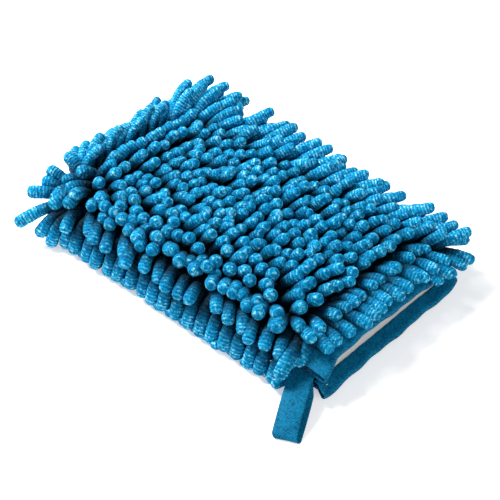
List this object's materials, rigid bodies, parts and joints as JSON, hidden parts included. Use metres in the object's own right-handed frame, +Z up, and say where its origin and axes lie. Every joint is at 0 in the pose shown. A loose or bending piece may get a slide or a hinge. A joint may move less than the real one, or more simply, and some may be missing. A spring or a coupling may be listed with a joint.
{
  "type": "wash mitt",
  "caption": "Lined pouch mitt with blue chenille noodle pile on both faces, a taped cuff for the hand and a swinging tape loop to hang it by.",
  "frame": {"origin": "on the surface that the mitt lies on, under the middle of the pouch, on the flattened tip of the middle noodle below it", "axes": "+X along the pouch and out of the cuff, +Y across it away from the hang loop, +Z up through the thickness"},
  "size_m": [0.2801, 0.2049, 0.0532],
  "materials": {
    "chenille": "matt tufted chenille yarn",
    "base_cloth": "matt knitted base cloth",
    "lining": "matt woven lining",
    "tape": "satin twill tape"
  },
  "bodies": {
    "mitt": {"top_panel": "base_cloth", "bottom_panel": "base_cloth", "top_lining": "lining", "bottom_lining": "lining", "edge_welt": "lining", "top_cuff_tape": "tape", "bottom_cuff_tape": "tape", "loop_tail": "tape", "top_noodles_01": "chenille", "top_noodles_02": "chenille", "top_noodles_03": "chenille", "top_noodles_04": "chenille", "top_noodles_05": "chenille", "top_noodles_06": "chenille", "top_noodles_07": "chenille", "top_noodles_08": "chenille", "top_noodles_09": "chenille", "top_noodles_10": "chenille", "top_noodles_11": "chenille", "top_noodles_12": "chenille", "top_noodles_13": "chenille", "top_noodles_14": "chenille", "top_noodles_15": "chenille", "top_noodles_16": "chenille", "top_noodles_17": "chenille", "top_noodles_18": "chenille", "top_noodles_19": "chenille", "top_noodles_20": "chenille", "top_noodles_21": "chenille", "top_noodles_22": "chenille", "front_fringe": "chenille", "rear_fringe": "chenille", "end_fringe": "chenille", "front_corner_fringe": "chenille", "rear_corner_fringe": "chenille", "bottom_noodles_01": "chenille", "bottom_noodles_02": "chenille", "bottom_noodles_03": "chenille", "bottom_noodles_04": "chenille", "bottom_noodles_05": "chenille", "bottom_noodles_06": "chenille", "bottom_noodles_07": "chenille", "bottom_noodles_08": "chenille", "bottom_noodles_09": "chenille", "bottom_noodles_10": "chenille", "bottom_noodles_11": "chenille"},
    "loop": {"hang_loop": "tape"}
  },
  "joints": [
    {"name": "hang_loop_swing", "type": "hinge", "parent": "mitt", "child": "loop", "pos_m": [0.1115, -0.07381, 0.0147], "axis": [-0.8988, -0.4384, 0], "range_deg": [0, 80]}
  ]
}
